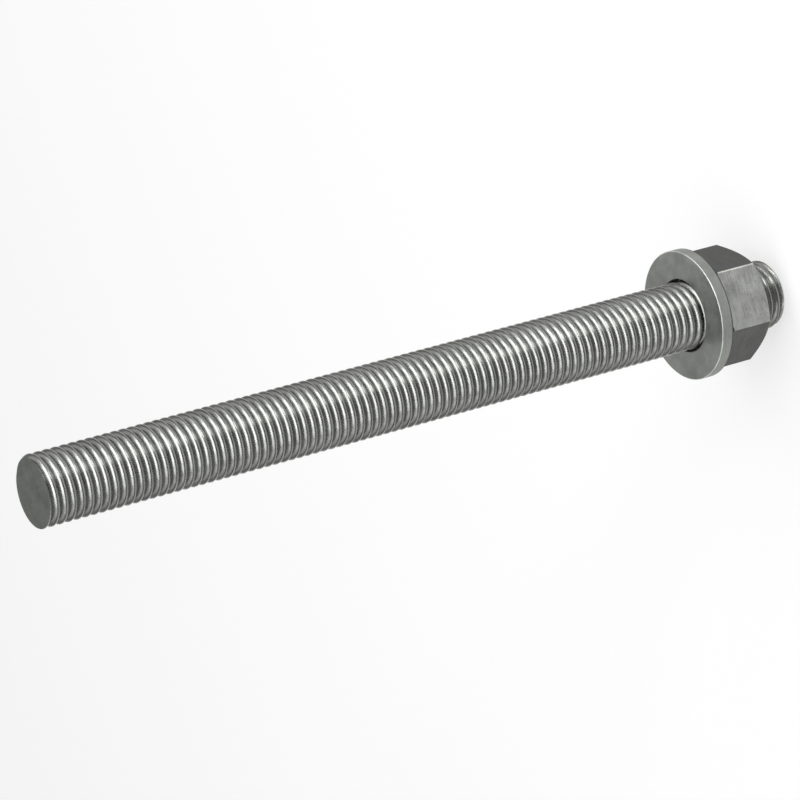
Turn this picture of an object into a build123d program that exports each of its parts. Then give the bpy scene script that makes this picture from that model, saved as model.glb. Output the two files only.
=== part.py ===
# A chemical anchor rod: a fully threaded M16 steel rod, a flat washer and a hexagon nut.
#
# The embedment end is bonded into a drilled hole, and the nut end stands out of it. The nut
# clamps whatever is fastened, with the washer under it.
# The assembly stands on its nut end, so that the washer rests on the nut: the origin is the
# middle of the rod's nut end, and +Z runs up the rod to the embedment end. Sizes are in
# millimetres.

import os
from math import cos, floor, pi, radians, sin, tan

from build123d import *

# Threaded rod
rod_length = 190.0
rod_diameter = 15.9  # across the crests of an M16 thread
thread_pitch = 2.0
thread_depth = 1.23
thread_start_angle = 42.4  # of the crest at the nut end, from +X, in degrees
thread_facets = 20  # flat lengths that make up one turn; more of them make a rounder thread
nut_end_chamfer = 0.9
nut_end_projection = 7.8  # rod that stands out past the nut

# Hexagon nut
nut_across_flats = 23.8
nut_height = 12.7
nut_crown_shoulder = 0.6  # from the flats in to the ring where the 30 degree corner cut starts
nut_crown_slope = 30.0
nut_thread_clearance = 0.15  # between the two threads, square to the rod
nut_mouth_width = 0.6  # of the countersink, outside the thread
nut_mouth_slope = 30.0

# Flat washer
washer_diameter = 30.0
washer_thickness = 3.0
washer_clearance = 0.5  # round the rod's crests, all the way round
washer_edge_break = 0.2

# Radii and heights that follow from those sizes
crest_radius = rod_diameter / 2
root_radius = crest_radius - thread_depth
nut_outer_height = nut_end_projection
nut_seat_height = nut_outer_height + nut_height


def thread_corner(radius, step, rise):
    """A corner of the thread, `step` facets round its first turn and `rise` above that helix."""
    angle = 2 * pi * step / thread_facets
    height = thread_pitch * step / thread_facets + rise
    return Vector(radius * cos(angle), radius * sin(angle), height)


def flat_face(*corners):
    return Face(Wire.make_polygon(corners))


def thread_turn(crest, root):
    """The facets of one turn, from its crest in to the root and out to the next crest."""
    facets = []
    for step in range(thread_facets):
        crest_side, root_side, next_crest_side = (
            (thread_corner(radius, step, rise), thread_corner(radius, step + 1, rise))
            for radius, rise in ((crest, 0), (root, thread_pitch / 2), (crest, thread_pitch))
        )
        for (near, next_near), (far, next_far) in (
            (crest_side, root_side),
            (root_side, next_crest_side),
        ):
            facets += [flat_face(near, next_near, next_far), flat_face(near, next_far, far)]
    return facets


def thread_end(crest, root):
    """What closes the core at either end of the turns: a spiral ramp and the step beside it."""
    centre = Vector(0, 0, 0)
    ramp = [
        flat_face(centre, thread_corner(crest, step, 0), thread_corner(crest, step + 1, 0))
        for step in range(thread_facets)
    ]
    step_face = flat_face(
        centre,
        thread_corner(crest, 0, 0),
        thread_corner(root, 0, thread_pitch / 2),
        thread_corner(crest, 0, thread_pitch),
    )
    return ramp + [step_face]


def threaded_bar(crest, root, bottom, top):
    """A right-hand threaded bar that is square at its bottom and top.

    Every bar made here has its crests at the same heights and its facets at the same angles,
    so a nut cut with one is in mesh with the rod wherever along the rod it sits.
    """
    first_turn = floor(bottom / thread_pitch) - 1
    last_turn = floor(top / thread_pitch) + 1
    turn = thread_turn(crest, root)
    end = thread_end(crest, root)
    faces = []
    for count in range(first_turn, last_turn):
        faces += [Pos(0, 0, count * thread_pitch) * facet for facet in turn]
    for count in (first_turn, last_turn):
        faces += [Pos(0, 0, count * thread_pitch) * face for face in end]
    bar = Solid(Shell(Face.sew_faces(faces)[0]))
    bar = Rot(0, 0, thread_start_angle) * bar
    bar = bar.split(Plane.XY.offset(bottom), keep=Keep.TOP)
    return bar.split(Plane.XY.offset(top), keep=Keep.BOTTOM)


def ring_of(profile_points):
    """The solid that a closed outline of (radius, height) points sweeps round the axis."""
    outline = Plane.XZ * Polyline(*profile_points, close=True)
    return revolve(make_face(outline), Axis.Z)


def make_threaded_rod():
    bar = threaded_bar(crest_radius, root_radius, 0, rod_length)
    past = nut_end_chamfer
    corner = ring_of(
        [
            (crest_radius - nut_end_chamfer, 0),
            (crest_radius + past, nut_end_chamfer + past),
            (crest_radius + past, -past),
            (crest_radius - nut_end_chamfer, -past),
        ]
    )
    return bar - corner


def make_hex_nut():
    hexagon = RegularPolygon(nut_across_flats / 2, 6, major_radius=False)
    block = Pos(0, 0, nut_outer_height) * extrude(hexagon, nut_height)

    # both faces are turned down at the corners, which leaves an arc on each flat
    shoulder_radius = nut_across_flats / 2 - nut_crown_shoulder
    outside_radius = nut_across_flats
    corner_drop = (outside_radius - shoulder_radius) * tan(radians(nut_crown_slope))
    crowned = ring_of(
        [
            (0, nut_outer_height),
            (shoulder_radius, nut_outer_height),
            (outside_radius, nut_outer_height + corner_drop),
            (outside_radius, nut_seat_height - corner_drop),
            (shoulder_radius, nut_seat_height),
            (0, nut_seat_height),
        ]
    )

    # the tapped hole has a countersink at each face
    tap_crest = crest_radius + nut_thread_clearance
    tap_root = root_radius + nut_thread_clearance
    mouth_radius = tap_crest + nut_mouth_width
    mouth_depth = (mouth_radius - tap_root) * tan(radians(nut_mouth_slope))
    tapping = threaded_bar(
        tap_crest, tap_root, nut_outer_height - thread_pitch, nut_seat_height + thread_pitch
    )
    mouths = ring_of(
        [
            (0, nut_outer_height),
            (mouth_radius, nut_outer_height),
            (tap_root, nut_outer_height + mouth_depth),
            (tap_root, nut_seat_height - mouth_depth),
            (mouth_radius, nut_seat_height),
            (0, nut_seat_height),
        ]
    )
    return (block & crowned) - mouths - tapping


def make_washer():
    hole_radius = crest_radius + washer_clearance
    upward = (Align.CENTER, Align.CENTER, Align.MIN)
    disc = Cylinder(washer_diameter / 2, washer_thickness, align=upward)
    disc = chamfer(disc.edges().filter_by(GeomType.CIRCLE), washer_edge_break)
    hole = Cylinder(hole_radius, washer_thickness, align=upward)
    return Pos(0, 0, nut_seat_height) * (disc - hole)


pieces = {
    "threaded_rod": make_threaded_rod(),
    "hex_nut": make_hex_nut(),
    "washer": make_washer(),
}

os.makedirs("parts", exist_ok=True)
for name, piece in pieces.items():
    export_step(piece, f"parts/{name}.step")
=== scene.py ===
from math import cos, pi, radians, sin, tan

import bmesh
import bpy
from mathutils import Matrix, Vector


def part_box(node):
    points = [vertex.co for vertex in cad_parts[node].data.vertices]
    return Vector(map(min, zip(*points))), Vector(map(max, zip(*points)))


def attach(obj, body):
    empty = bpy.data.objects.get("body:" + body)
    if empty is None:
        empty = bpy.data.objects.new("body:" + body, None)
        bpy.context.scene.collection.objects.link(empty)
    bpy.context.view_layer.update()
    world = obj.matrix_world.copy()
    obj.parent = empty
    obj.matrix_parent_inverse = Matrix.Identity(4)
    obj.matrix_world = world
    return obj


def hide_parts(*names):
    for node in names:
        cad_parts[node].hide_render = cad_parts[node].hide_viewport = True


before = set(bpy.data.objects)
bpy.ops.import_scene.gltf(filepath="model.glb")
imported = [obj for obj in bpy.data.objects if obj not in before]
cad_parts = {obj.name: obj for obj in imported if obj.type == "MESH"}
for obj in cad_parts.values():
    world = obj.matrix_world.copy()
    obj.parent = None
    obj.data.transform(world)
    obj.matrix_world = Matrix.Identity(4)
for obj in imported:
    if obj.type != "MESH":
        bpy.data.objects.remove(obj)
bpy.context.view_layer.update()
MM = 0.001

# Sizes read from the frame
rod_low, rod_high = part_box("threaded_rod")
nut_low, nut_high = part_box("hex_nut")
washer_low, washer_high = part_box("washer")
ROD_LENGTH = rod_high.z
NUT_FLATS = nut_high.y - nut_low.y
WASHER_RADIUS = washer_high.x

# Sizes that the solids share
CREST_RADIUS = 7.95 * MM
PITCH = 2.0 * MM
THREAD_START = 42.4  # degrees from +X to the crest at the nut end
END_CHAMFER = 0.9 * MM
TAP_CLEARANCE = 0.15 * MM
MOUTH_WIDTH = 0.6 * MM  # of the nut's countersinks, outside its thread
CORNER_CUT = 30.0  # degrees, of the nut's turned corners and its countersinks
CROWN_SHOULDER = 0.6 * MM  # from the nut's flats in to where its corners are turned down
WASHER_CLEARANCE = 0.5 * MM

# The softer forms that rolling, pressing and stamping leave, which the solids don't have
THREAD_DEPTH = 0.98 * MM  # a rolled thread is rounded, so less of its depth is open
CREST_ROUNDNESS = 1.7  # 1 for a sharp crest, more for a rounder one
CORNER_ROUND = 0.3 * MM  # of the nut's six upright edges
EDGE_ROUND = 0.12 * MM  # where the turned corners meet its flats
WASHER_ROUND = 0.22 * MM

# How finely the shapes are divided
ROD_COLUMNS = 60
ROD_ROWS = 16  # to a turn of the thread
BORE_COLUMNS = 96
BORE_ROWS = 8
FLAT_STEPS = 14  # along each flat of the nut
CORNER_STEPS = 4  # round each of its corners
WASHER_COLUMNS = 160
WASHER_ROUND_STEPS = 4
CRISP_ANGLE = 50  # degrees between two faces, from which the edge between them looks sharp
ROUNDED_ANGLE = 30  # and from which the washer's edges are rounded over
END_FACING = 0.999  # how far a face's normal points along the rod on its cut ends
MERGE_REACH = 0.002 * MM

# Bare steel
ROD_TONE = (0.33, 0.336, 0.32)
SAWN_TONE = (0.185, 0.193, 0.177)
NUT_TONE = (0.31, 0.315, 0.3)
WASHER_TONE = (0.355, 0.365, 0.345)
# Painted light and shade on the nut's three pairs of flats: degrees from +X that they face, and how
# bright each pair is painted
PAINTED_FLAT_SHADING = {90: 1.05, 150: 0.19, 30: 0.28}
NOISE_MIDDLE = 0.5
NOISE_ROUGHNESS = 0.6
ACROSS_THE_MARKS = 0.25  # of a turn, which lays the drawn-out reflections along the rod

# The studio
FLOOR_REACH = 3.0
FLOOR_COLOUR = (0.88, 0.88, 0.88)
FLOOR_ROUGHNESS = 0.9
FLOOR_WHITE_SHARE = 0.65  # of the floor that shows as plain white, in view and in the metal
ROOM_LIGHT = 0.22  # overhead, and in front of the rod
WALL_LIGHT = 0.76  # of the pale band round the sides and the back
WALL_FOOT = (14, 26)  # degrees above the floor, over which the band comes in
WALL_HEAD = (40, 58)  # and over which it goes out
FRONT_TOWARDS = (0.3, 0.93, 0.2)
FRONT_CORE = 35  # degrees from its middle to where the walls start to show
FRONT_EDGE = 75  # and to where they show in full
CEILING_HEIGHT = 1.0  # above the middle of the rod
# Panels of the ceiling light: middle (x, y), (width, depth) and brightness
CEILING_PANELS = {
    "left_panel": (-1.5, -0.05, 0.5, 0.6, 1.4),
    "key_panel": (-0.7, 0.33, 0.9, 0.68, 3.9),
    "middle_panel": (0.1, 0.45, 0.7, 0.6, 4.2),
    "side_panel": (0.8, 0.35, 0.7, 0.7, 2.2),
    "right_panel": (1.55, -0.25, 0.8, 0.7, 0.7),
}
# Panels that stand on the floor: degrees from +X, (width, height) and brightness
STANDING_PANELS = {
    "tall_panel": (122, 0.42, 1.0, 3.2),
    "wide_panel": (158, 0.85, 0.7, 0.35),
}
STANDING_DISTANCE = 1.0

# The camera of the photograph
CAMERA_PLACE = Vector((30.4, 734.0, 512.1)) * MM
CAMERA_AZIMUTH = -177.752  # degrees, from +Y towards +X, of the way it looks
CAMERA_ELEVATION = 29.267
CAMERA_ROLL = -105.244
CAMERA_LENS = 174.25  # millimetres
CAMERA_SENSOR = 36  # millimetres
CAMERA_NEAREST = 0.01


class Value:
    """A socket of a node tree. Sums written with it add their own Math nodes."""

    def __init__(self, sheet, socket):
        self.sheet = sheet
        self.socket = socket

    def math(self, operation, *others):
        return self.sheet.math(operation, self, *others)

    def __add__(self, other):
        return self.math("ADD", other)

    def __sub__(self, other):
        return self.math("SUBTRACT", other)

    def __mul__(self, other):
        return self.math("MULTIPLY", other)

    def __truediv__(self, other):
        return self.math("DIVIDE", other)

    def __pow__(self, other):
        return self.math("POWER", other)

    def __radd__(self, other):
        return self.sheet.math("ADD", other, self)

    def __rsub__(self, other):
        return self.sheet.math("SUBTRACT", other, self)

    def __rmul__(self, other):
        return self.sheet.math("MULTIPLY", other, self)

    def __rtruediv__(self, other):
        return self.sheet.math("DIVIDE", other, self)

    def __rpow__(self, other):
        return self.sheet.math("POWER", other, self)


class Sheet:
    """A node tree that is written as expressions."""

    def __init__(self, tree):
        self.tree = tree

    def add(self, kind, settings=None, sockets=None):
        """A node of this kind: its settings first, then the value or link of each socket."""
        node = self.tree.nodes.new(kind)
        for name, setting in (settings or {}).items():
            setattr(node, name, setting)
        for name, given in (sockets or {}).items():
            if isinstance(given, Value):
                self.tree.links.new(given.socket, node.inputs[name])
            else:
                node.inputs[name].default_value = given
        return node

    def value(self, kind, settings=None, sockets=None, output=0):
        return Value(self, self.add(kind, settings, sockets).outputs[output])

    def math(self, operation, *terms):
        return self.value("ShaderNodeMath", {"operation": operation}, dict(enumerate(terms)))

    def parts(self, vector):
        """The x, y and z of a vector."""
        node = self.add("ShaderNodeSeparateXYZ", sockets={0: vector})
        return [Value(self, output) for output in node.outputs]

    def vector(self, x, y, z):
        return self.value("ShaderNodeCombineXYZ", sockets={0: x, 1: y, 2: z})

    def noise(self, place, size, detail):
        """Soft noise whose grains measure about `size`."""
        return self.value(
            "ShaderNodeTexNoise",
            sockets={
                "Vector": place,
                "Scale": 1 / size,
                "Detail": detail,
                "Roughness": NOISE_ROUGHNESS,
            },
        )

    def step(self, value, start, end):
        """A smooth step, from 0 where the value is `start` to 1 where it is `end`."""
        return self.value(
            "ShaderNodeMapRange",
            {"interpolation_type": "SMOOTHSTEP"},
            {"Value": value, "From Min": start, "From Max": end},
        )


def link_to_scene(name, mesh):
    piece = bpy.data.objects.new(name, mesh)
    bpy.context.scene.collection.objects.link(piece)
    return piece


def finished_mesh(maker):
    """What the maker's modifiers make of it, as a plain mesh. The maker itself is removed."""
    bpy.context.view_layer.update()
    graph = bpy.context.evaluated_depsgraph_get()
    mesh = bpy.data.meshes.new_from_object(maker.evaluated_get(graph))
    bpy.data.objects.remove(maker)
    return mesh


THREAD_INPUTS = {
    "Crest Radius": "NodeSocketFloat",
    "Depth": "NodeSocketFloat",
    "Pitch": "NodeSocketFloat",
    "Bottom": "NodeSocketFloat",
    "Top": "NodeSocketFloat",
    "Start Turn": "NodeSocketFloat",
    "Crest Roundness": "NodeSocketFloat",
    "Chamfer Radius": "NodeSocketFloat",
    "Mouth Radius": "NodeSocketFloat",
    "Columns": "NodeSocketInt",
    "Rows per Turn": "NodeSocketInt",
    "Turns": "NodeSocketInt",
    "Capped": "NodeSocketFloat",
    "Inward": "NodeSocketBool",
    "Sharp Angle": "NodeSocketFloat",
    "Material": "NodeSocketMaterial",
}
# What the rod's thread and the nut's have in common
THREAD_FORM = {
    "Depth": THREAD_DEPTH,
    "Pitch": PITCH,
    "Crest Roundness": CREST_ROUNDNESS,
    "Sharp Angle": radians(CRISP_ANGLE),
}
NO_CHAMFER = 1.0  # a radius outside the whole thread
NO_MOUTH = -1.0  # and one inside it


def thread_tree():
    """Node tree for the wall of a screw thread, between two flat ends.

    The rows of a grid follow the helix, so that crest and root are edges of the mesh. Where a
    row runs past an end, it is laid on that end, and the doubled points are merged.
    """
    tree = bpy.data.node_groups.new("thread_wall", "GeometryNodeTree")
    for name, kind in THREAD_INPUTS.items():
        tree.interface.new_socket(name, in_out="INPUT", socket_type=kind)
    tree.interface.new_socket("Mesh", in_out="OUTPUT", socket_type="NodeSocketGeometry")
    sheet = Sheet(tree)
    given = sheet.add("NodeGroupInput")
    size = {name: Value(sheet, given.outputs[name]) for name in THREAD_INPUTS}

    # one more row at each end closes the cap
    rows = size["Rows per Turn"] * (size["Turns"] + 2) + 3
    grid = sheet.value(
        "GeometryNodeMeshGrid",
        sockets={
            "Size X": 1.0,
            "Size Y": 1.0,
            "Vertices X": size["Columns"] + 1,
            "Vertices Y": rows,
        },
    )
    grid_x, grid_y = sheet.parts(sheet.value("GeometryNodeInputPosition"))[:2]
    turned = grid_x + 0.5
    row = (grid_y + 0.5) * (rows - 1)

    pitch, bottom, top = size["Pitch"], size["Bottom"], size["Top"]
    spin = turned - size["Start Turn"]
    along = pitch * ((row - 1) / size["Rows per Turn"] - 1 + spin)
    height = along.math("MAXIMUM", 0.0).math("MINIMUM", top - bottom) + bottom

    # 0 on the crest, 1 at the root
    phase = ((height - bottom) / pitch - spin).math("FRACT")
    off_crest = (phase - 0.5).math("ABSOLUTE") * -2 + 1
    wall = size["Crest Radius"] - size["Depth"] * off_crest ** size["Crest Roundness"]

    chamfered = wall.math("MINIMUM", size["Chamfer Radius"] + height - bottom)
    depth_in = (height - bottom).math("MINIMUM", top - height)
    mouth = size["Mouth Radius"] - depth_in / tan(radians(CORNER_CUT))
    radius = chamfered.math("MAXIMUM", mouth)
    on_end = row.math("LESS_THAN", 0.5) + row.math("GREATER_THAN", rows - 1.5)
    radius = radius * (1 - on_end * size["Capped"])

    angle = turned * (2 * pi)
    new_place = sheet.vector(radius * angle.math("COSINE"), radius * angle.math("SINE"), height)
    placed = sheet.value(
        "GeometryNodeSetPosition", sockets={"Geometry": grid, "Position": new_place}
    )
    merged = sheet.value(
        "GeometryNodeMergeByDistance", sockets={"Geometry": placed, "Distance": MERGE_REACH}
    )
    turned_in = sheet.value(
        "GeometryNodeFlipFaces", sockets={"Mesh": merged, "Selection": size["Inward"]}
    )
    soft_edge = sheet.value(
        "FunctionNodeCompare",
        {"data_type": "FLOAT", "operation": "LESS_THAN"},
        {"A": sheet.value("GeometryNodeInputMeshEdgeAngle"), "B": size["Sharp Angle"]},
    )
    soft_faces = sheet.value(
        "GeometryNodeSetShadeSmooth",
        {"domain": "FACE"},
        {"Geometry": turned_in, "Shade Smooth": True},
    )
    shaded = sheet.value(
        "GeometryNodeSetShadeSmooth",
        {"domain": "EDGE"},
        {"Geometry": soft_faces, "Shade Smooth": soft_edge},
    )
    realized = sheet.value("GeometryNodeRealizeInstances", sockets={"Geometry": shaded})
    finished = sheet.value(
        "GeometryNodeSetMaterial", sockets={"Geometry": realized, "Material": size["Material"]}
    )
    sheet.add("NodeGroupOutput", sockets={"Mesh": finished})
    return tree


def thread_mesh(tree, sizes):
    """The mesh that the thread tree makes with these sizes."""
    maker = link_to_scene("thread_maker", bpy.data.meshes.new("thread_maker"))
    modifier = maker.modifiers.new("thread", "NODES")
    modifier.node_group = tree
    for item in tree.interface.items_tree:
        if item.in_out == "INPUT":
            modifier[item.identifier] = sizes[item.name]
    return finished_mesh(maker)


def join_loops(shape, lower, upper):
    """The faces between two loops of points, in the order of the points."""
    faces = []
    for number in range(len(lower)):
        after = (number + 1) % len(lower)
        corners = (lower[number], lower[after], upper[after], upper[number])
        faces.append(shape.faces.new(corners))
    return faces


def make_rod(tree, thread_material, end_material):
    mesh = thread_mesh(
        tree,
        {
            **THREAD_FORM,
            "Crest Radius": CREST_RADIUS,
            "Bottom": 0.0,
            "Top": ROD_LENGTH,
            "Start Turn": THREAD_START / 360,
            "Chamfer Radius": CREST_RADIUS - END_CHAMFER,
            "Mouth Radius": NO_MOUTH,
            "Columns": ROD_COLUMNS,
            "Rows per Turn": ROD_ROWS,
            "Turns": round(ROD_LENGTH / PITCH),
            "Capped": 1.0,
            "Inward": False,
            "Material": thread_material,
        },
    )
    mesh.materials.clear()
    mesh.materials.append(thread_material)
    mesh.materials.append(end_material)
    for face in mesh.polygons:
        is_end = abs(face.normal.z) > END_FACING
        face.material_index = int(is_end)
        if is_end:
            face.use_smooth = False
    piece = link_to_scene("rolled_thread_rod", mesh)
    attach(piece, "rod")
    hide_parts("threaded_rod")


def hexagon_outline():
    """Points round a hexagon with rounded corners, the first flat facing 30 degrees from +X."""
    half_flat = NUT_FLATS / 2 * tan(radians(30))
    straight = half_flat - CORNER_ROUND * tan(radians(30))
    round_middle = NUT_FLATS / 2 - CORNER_ROUND
    points = []
    for side in range(6):
        turn = Matrix.Rotation(radians(30 + 60 * side), 2)
        for step in range(FLAT_STEPS + 1):
            across = straight * (2 * step / FLAT_STEPS - 1)
            points.append(turn @ Vector((NUT_FLATS / 2, across)))
        for step in range(1, CORNER_STEPS):
            angle = radians(60 * step / CORNER_STEPS)
            past_middle = Vector((cos(angle), sin(angle))) * CORNER_ROUND
            points.append(turn @ (Vector((round_middle, straight)) + past_middle))
    return points


def corner_rings(reach):
    """Rings over a turned corner, as (radius, depth below the nut's face), from its shoulder out.

    The outline reaches `reach` from the axis there: least in the middle of a flat, most at a
    corner, so that the cut runs out in an arc on each flat.
    """
    slope = tan(radians(CORNER_CUT))
    shoulder = NUT_FLATS / 2 - CROWN_SHOULDER
    cut_depth = (reach - shoulder) * slope
    return [
        (shoulder, 0.0),
        (reach - EDGE_ROUND, cut_depth - EDGE_ROUND * slope),
        (reach - EDGE_ROUND / 4, cut_depth + EDGE_ROUND / 6),
        (reach, cut_depth + EDGE_ROUND),
    ]


def nut_loops(shape):
    """Loops of points up the outside of the nut, from one face to the other."""
    outline = hexagon_outline()
    rings = list(zip(*(corner_rings(point.length) for point in outline)))
    levels = [(ring, nut_low.z, 1) for ring in rings]
    levels += [(ring, nut_high.z, -1) for ring in reversed(rings)]
    loops = []
    for ring, face_height, inward in levels:
        loop = []
        for point, (radius, depth) in zip(outline, ring):
            x, y = point.normalized() * radius
            loop.append(shape.verts.new((x, y, face_height + inward * depth)))
        loops.append(loop)
    return loops


def make_nut(tree, material):
    """The nut: its outside as rings of one outline, bridged to the tapped bore."""
    shape = bmesh.new()
    loops = nut_loops(shape)
    side_points = FLAT_STEPS + CORNER_STEPS
    upright = len(loops) // 2 - 1
    for level, (below, above) in enumerate(zip(loops, loops[1:])):
        for number, face in enumerate(join_loops(shape, below, above)):
            on_flat = level == upright and number % side_points < FLAT_STEPS
            face.smooth = not on_flat

    bottom, top = nut_low.z, nut_high.z
    bore = thread_mesh(
        tree,
        {
            **THREAD_FORM,
            "Crest Radius": CREST_RADIUS + TAP_CLEARANCE,
            "Bottom": bottom,
            "Top": top,
            "Start Turn": (THREAD_START / 360 + bottom / PITCH) % 1,
            "Chamfer Radius": NO_CHAMFER,
            "Mouth Radius": CREST_RADIUS + TAP_CLEARANCE + MOUTH_WIDTH,
            "Columns": BORE_COLUMNS,
            "Rows per Turn": BORE_ROWS,
            "Turns": round((top - bottom) / PITCH),
            "Capped": 0.0,
            "Inward": True,
            "Material": material,
        },
    )
    shape.from_mesh(bore)
    rims = [edge for edge in shape.edges if edge.is_boundary]
    for height in (bottom, top):
        level_rims = [edge for edge in rims if abs(edge.verts[0].co.z - height) < EDGE_ROUND / 4]
        bridge = bmesh.ops.bridge_loops(shape, edges=level_rims)
        for face in bridge["faces"]:
            face.smooth = False
    bmesh.ops.recalc_face_normals(shape, faces=shape.faces)
    for face in shape.faces:
        face.material_index = 0
    mesh = bpy.data.meshes.new("tapped_nut")
    shape.to_mesh(mesh)
    shape.free()
    mesh.materials.append(material)
    piece = link_to_scene("tapped_nut", mesh)
    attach(piece, "nut")
    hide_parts("hex_nut")


def spun_mesh(name, section, columns):
    """The mesh that a closed section of (radius, height) points sweeps round the axis."""
    shape = bmesh.new()
    loops = []
    for radius, height in section:
        loop = []
        for column in range(columns):
            angle = 2 * pi * column / columns
            loop.append(shape.verts.new((radius * cos(angle), radius * sin(angle), height)))
        loops.append(loop)
    for loop, next_loop in zip(loops, loops[1:] + loops[:1]):
        for face in join_loops(shape, loop, next_loop):
            face.smooth = True
    mesh = bpy.data.meshes.new(name)
    shape.to_mesh(mesh)
    shape.free()
    return mesh


def rounded_over(mesh, width, segments):
    """The mesh with its sharp edges rounded over."""
    maker = link_to_scene("bevel_maker", mesh)
    modifier = maker.modifiers.new("round", "BEVEL")
    modifier.width = width
    modifier.segments = segments
    modifier.limit_method = "ANGLE"
    modifier.angle_limit = radians(ROUNDED_ANGLE)
    modifier.harden_normals = True
    return finished_mesh(maker)


def make_washer(material):
    bottom, top = washer_low.z, washer_high.z
    hole = CREST_RADIUS + WASHER_CLEARANCE
    section = [(hole, bottom), (WASHER_RADIUS, bottom), (WASHER_RADIUS, top), (hole, top)]
    square_ring = spun_mesh("stamped_washer", section, WASHER_COLUMNS)
    mesh = rounded_over(square_ring, WASHER_ROUND, WASHER_ROUND_STEPS)
    mesh.materials.append(material)
    piece = link_to_scene("stamped_washer", mesh)
    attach(piece, "washer")
    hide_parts("washer")


def new_material(name):
    material = bpy.data.materials.new(name)
    material.use_nodes = True
    material.node_tree.nodes.clear()
    return material, Sheet(material.node_tree)


def object_place(sheet):
    return sheet.value("ShaderNodeTexCoord", output="Object")


def varied(level, *layers):
    """The level, raised and lowered by layers of (noise, how far it takes the level)."""
    for noise, reach in layers:
        level = level + reach * (noise - NOISE_MIDDLE)
    return level


def finish_steel(sheet, tone, shade, roughness, drawn_out, marks, mark_depth):
    """Bare steel of this tone times the shade, with its marks as a bump of this depth.

    The marks run round the piece, so they draw its reflections out along the rod, by the share
    `drawn_out`.
    """
    # sockets 6 and 7 and output 2 are those for colours
    colour = sheet.value(
        "ShaderNodeMix",
        {"data_type": "RGBA", "blend_type": "MULTIPLY"},
        {0: 1.0, 6: (*tone, 1), 7: shade},
        output=2,
    )
    bump = sheet.value(
        "ShaderNodeBump", sockets={"Strength": 1.0, "Distance": mark_depth, "Height": marks}
    )
    surface = sheet.value(
        "ShaderNodeBsdfPrincipled",
        sockets={
            "Base Color": colour,
            "Metallic": 1.0,
            "Roughness": roughness,
            "Anisotropic": drawn_out,
            "Anisotropic Rotation": ACROSS_THE_MARKS,
            "Normal": bump,
        },
    )
    sheet.add("ShaderNodeOutputMaterial", sockets={"Surface": surface})


def rod_steel():
    """Rolled steel: fine streaks along the thread, with painted shade on its crest and at its root.
    """
    material, sheet = new_material("rolled_rod_steel")
    place = object_place(sheet)
    x, y, z = sheet.parts(place)
    turned = y.math("ARCTAN2", x) / (2 * pi)
    phase = z / PITCH - turned + THREAD_START / 360
    from_crest = ((phase + 0.5).math("FRACT") - 0.5) * PITCH
    off_crest = from_crest.math("ABSOLUTE")
    on_crest = 1 - sheet.step(off_crest, 0.25 * MM, 0.45 * MM)
    painted_root_shade = sheet.step(off_crest, 0.65 * MM, 1.0 * MM)

    # rolling draws the streaks out along the helix, and each turn has its own
    along_thread = sheet.vector(x * 0.05, y * 0.05, from_crest + z * 0.15)
    streaks = sheet.noise(along_thread, size=0.3 * MM, detail=2)
    blotches = sheet.noise(place, size=4 * MM, detail=3)
    grains = sheet.noise(place, size=0.5 * MM, detail=2)
    shade = varied(1, (streaks, 0.5 + 1.0 * on_crest), (blotches, 0.5))
    # painted shade: the crest a quarter darker and the root about an eighth darker
    finish_steel(
        sheet,
        tone=ROD_TONE,
        shade=shade * (1 - 0.25 * on_crest) * (1 - 0.12 * painted_root_shade),
        roughness=varied(0.27, (grains, 0.06), (blotches, 0.1)),
        drawn_out=0.5,
        marks=streaks,
        mark_depth=0.002 * MM,
    )
    return material


def sawn_steel():
    """The cut ends of the rod: dull, with faint saw marks across them."""
    material, sheet = new_material("sawn_rod_end")
    place = object_place(sheet)
    x, y, z = sheet.parts(place)
    saw_marks = sheet.noise(sheet.vector(x, y * 0.03, z), size=0.4 * MM, detail=2)
    blotches = sheet.noise(place, size=5 * MM, detail=3)
    grains = sheet.noise(place, size=0.4 * MM, detail=2)
    finish_steel(
        sheet,
        tone=SAWN_TONE,
        shade=varied(1, (saw_marks, 0.4), (blotches, 1.0), (grains, 0.5)),
        roughness=varied(0.48, (grains, 0.15)),
        drawn_out=0.0,
        marks=saw_marks,
        mark_depth=0.004 * MM,
    )
    return material


def nut_steel():
    """Brushed steel, with painted light on two opposite flats and painted shade on the other two
    pairs.

    The six corners carry a painted highlight, strongest on the -X side.
    """
    material, sheet = new_material("brushed_nut_steel")
    place = object_place(sheet)
    x, y, z = sheet.parts(place)
    reach = NUT_FLATS / 2
    # painted light on the front pair of flats and painted shade on the other two pairs
    flats = 1
    for facing, brightness in PAINTED_FLAT_SHADING.items():
        out = (x * cos(radians(facing)) + y * sin(radians(facing))).math("ABSOLUTE")
        on_flat = sheet.step(out, reach - 0.02 * MM, reach - 0.005 * MM)
        flats = flats + (brightness - 1) * on_flat
    corner = reach / cos(radians(30))
    from_axis = (x * x + y * y).math("SQRT")
    at_corner = sheet.step(from_axis, corner - 0.2 * MM, corner - 0.1 * MM)
    # painted highlight along the six corners, strongest towards -X
    painted_corner_highlight = at_corner * (0.1 + 0.9 * sheet.step(x, 3 * MM, -3 * MM))

    brushed = sheet.noise(sheet.vector(x * 0.05, y * 0.05, z), size=0.3 * MM, detail=2)
    blotches = sheet.noise(place, size=4 * MM, detail=3)
    grains = sheet.noise(place, size=0.5 * MM, detail=2)
    shade = varied(1, (brushed, 1.0), (blotches, 1.2), (grains, 0.3))
    finish_steel(
        sheet,
        tone=NUT_TONE,
        shade=shade * flats * (1 + 0.8 * painted_corner_highlight),
        roughness=varied(0.36, (grains, 0.12), (blotches, 0.15)),
        drawn_out=0.8,
        marks=brushed,
        mark_depth=0.005 * MM,
    )
    return material


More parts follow.
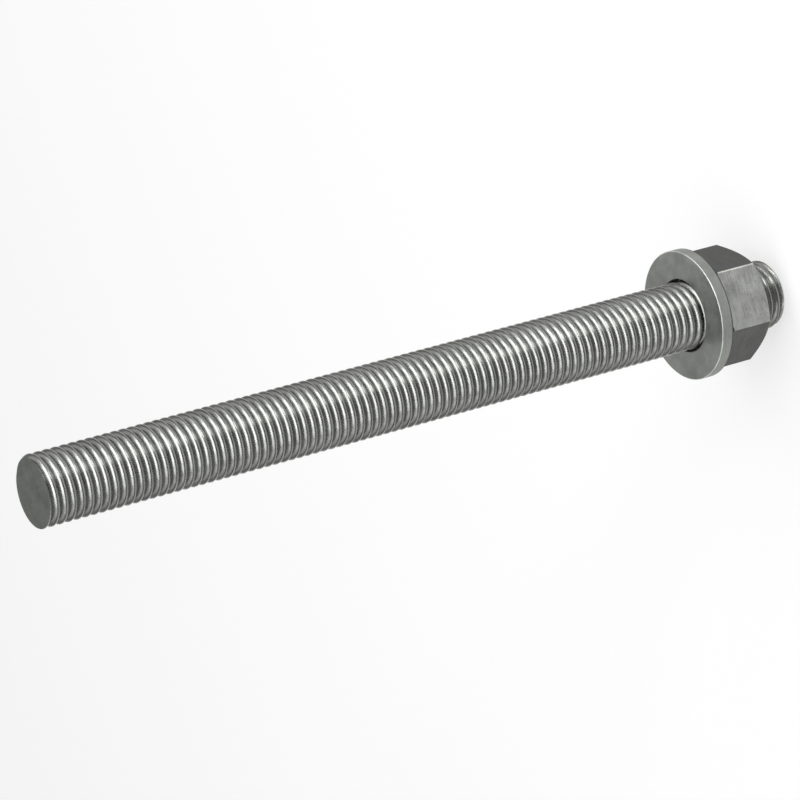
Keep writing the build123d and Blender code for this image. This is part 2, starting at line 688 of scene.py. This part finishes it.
def washer_steel():
    """Stamped steel, mottled from tumbling: dull at the rim, with a painted highlight along its
    upper edge and painted shade where it lies on the nut.
    """
    material, sheet = new_material("tumbled_washer_steel")
    place = object_place(sheet)
    x, y, z = sheet.parts(place)
    past_rim = (x * x + y * y).math("SQRT") - WASHER_RADIUS
    at_rim = sheet.step(past_rim, -0.05 * MM, -0.01 * MM)
    past_edge = past_rim + (z - washer_high.z)
    # painted highlight along the upper edge
    painted_edge_highlight = sheet.step(past_edge, -WASHER_ROUND, -0.8 * WASHER_ROUND)
    # painted shade: a dark line where the washer lies on the nut
    painted_seam_shade = sheet.step(z - washer_low.z, 0.45 * MM, 0.3 * MM)

    marks = sheet.noise(sheet.vector(x * 0.1, y * 0.1, z), size=0.3 * MM, detail=2)
    blotches = sheet.noise(sheet.vector(y, x, z), size=5 * MM, detail=3)
    grains = sheet.noise(place, size=0.6 * MM, detail=2)
    shade = varied(1, (marks, 0.3), (blotches, 0.8), (grains, 0.25))
    finish_steel(
        sheet,
        tone=WASHER_TONE,
        shade=shade * (1 - 0.2 * at_rim) * (1 + 1.0 * painted_edge_highlight) * (1 - 0.7 * painted_seam_shade),
        roughness=varied(0.5, (grains, 0.12), (blotches, 0.2)),
        drawn_out=0.2,
        marks=grains,
        mark_depth=0.004 * MM,
    )
    return material


def shown_rays(sheet):
    """1 for the rays that show the background: the camera's, and those in metal and glass."""
    path = sheet.add("ShaderNodeLightPath")
    camera_ray, glossy_ray, through_ray = (
        Value(sheet, path.outputs[name])
        for name in ("Is Camera Ray", "Is Glossy Ray", "Is Transmission Ray")
    )
    return camera_ray.math("MAXIMUM", glossy_ray).math("MAXIMUM", through_ray)


def make_floor():
    """A pale floor. Part of it shows as plain white, which leaves the shadow faint."""
    mesh = bpy.data.meshes.new("floor")
    mesh.from_pydata(
        [
            (-FLOOR_REACH, -FLOOR_REACH, 0),
            (FLOOR_REACH, -FLOOR_REACH, 0),
            (FLOOR_REACH, FLOOR_REACH, 0),
            (-FLOOR_REACH, FLOOR_REACH, 0),
        ],
        [],
        [(0, 1, 2, 3)],
    )
    material, sheet = new_material("pale_floor")
    lit = sheet.value(
        "ShaderNodeBsdfPrincipled",
        sockets={"Base Color": (*FLOOR_COLOUR, 1), "Roughness": FLOOR_ROUGHNESS},
    )
    white = sheet.value("ShaderNodeEmission", sockets={"Color": (1, 1, 1, 1), "Strength": 1.0})
    surface = sheet.value(
        "ShaderNodeMixShader", sockets={0: shown_rays(sheet) * FLOOR_WHITE_SHARE, 1: lit, 2: white}
    )
    sheet.add("ShaderNodeOutputMaterial", sockets={"Surface": surface})
    mesh.materials.append(material)
    floor = link_to_scene("floor", mesh)


def make_world():
    """A studio that is dark overhead and in front of the rod, with pale walls round the rest."""
    world = bpy.data.worlds.new("studio")
    bpy.context.scene.world = world
    world.use_nodes = True
    world.node_tree.nodes.clear()
    sheet = Sheet(world.node_tree)
    direction = sheet.value("ShaderNodeTexCoord", output="Generated")
    rise = sheet.parts(direction)[2]
    foot, head = ([sin(radians(angle)) for angle in edge] for edge in (WALL_FOOT, WALL_HEAD))
    wall = sheet.step(rise, *foot) * (1 - sheet.step(rise, *head))
    towards_front = sheet.value(
        "ShaderNodeVectorMath",
        {"operation": "DOT_PRODUCT"},
        {0: direction, 1: FRONT_TOWARDS},
        output="Value",
    )
    front = sheet.step(towards_front, cos(radians(FRONT_EDGE)), cos(radians(FRONT_CORE)))
    strength = ROOM_LIGHT + (WALL_LIGHT - ROOM_LIGHT) * wall * (1 - front)
    lit = sheet.value("ShaderNodeBackground", sockets={"Color": (1, 1, 1, 1), "Strength": strength})
    sheet.add("ShaderNodeOutputWorld", sockets={"Surface": lit})


def make_camera():
    camera = bpy.data.objects.new("camera", bpy.data.cameras.new("camera"))
    bpy.context.scene.collection.objects.link(camera)
    camera.data.lens = CAMERA_LENS
    camera.data.sensor_width = CAMERA_SENSOR
    camera.data.clip_start = CAMERA_NEAREST
    turn = Matrix.Rotation(radians(-CAMERA_AZIMUTH), 4, "Z")
    tilt = Matrix.Rotation(radians(90 - CAMERA_ELEVATION), 4, "X")
    roll = Matrix.Rotation(radians(CAMERA_ROLL), 4, "Z")
    camera.matrix_world = Matrix.Translation(CAMERA_PLACE) @ turn @ tilt @ roll
    bpy.context.scene.camera = camera


def panel(name, place, width, height, brightness):
    """A soft lamp at this place. Unturned, it faces the floor.

    Its brightness is that of its face, where 1 is the white of a fully lit sheet of paper.
    """
    light = bpy.data.lights.new(name, "AREA")
    light.shape = "RECTANGLE"
    light.size = width
    light.size_y = height
    light.energy = brightness * pi * width * height
    holder = bpy.data.objects.new(name, light)
    bpy.context.scene.collection.objects.link(holder)
    holder.location = place
    return holder


def hang_ceiling_panels():
    for name, (x, y, width, depth, brightness) in CEILING_PANELS.items():
        panel(name, (x, y, ROD_LENGTH / 2 + CEILING_HEIGHT), width, depth, brightness)


def stand_panels():
    for name, (side, width, height, brightness) in STANDING_PANELS.items():
        outward = Vector((cos(radians(side)), sin(radians(side)), 0))
        place = outward * STANDING_DISTANCE + Vector((0, 0, height / 2))
        holder = panel(name, place, width, height, brightness)
        holder.rotation_euler = (-outward).to_track_quat("-Z", "Y").to_euler()


bpy.context.scene.view_settings.view_transform = "Standard"
make_camera()
tree = thread_tree()
make_rod(tree, rod_steel(), sawn_steel())
make_nut(tree, nut_steel())
make_washer(washer_steel())
make_floor()
make_world()
hang_ceiling_panels()
stand_panels()
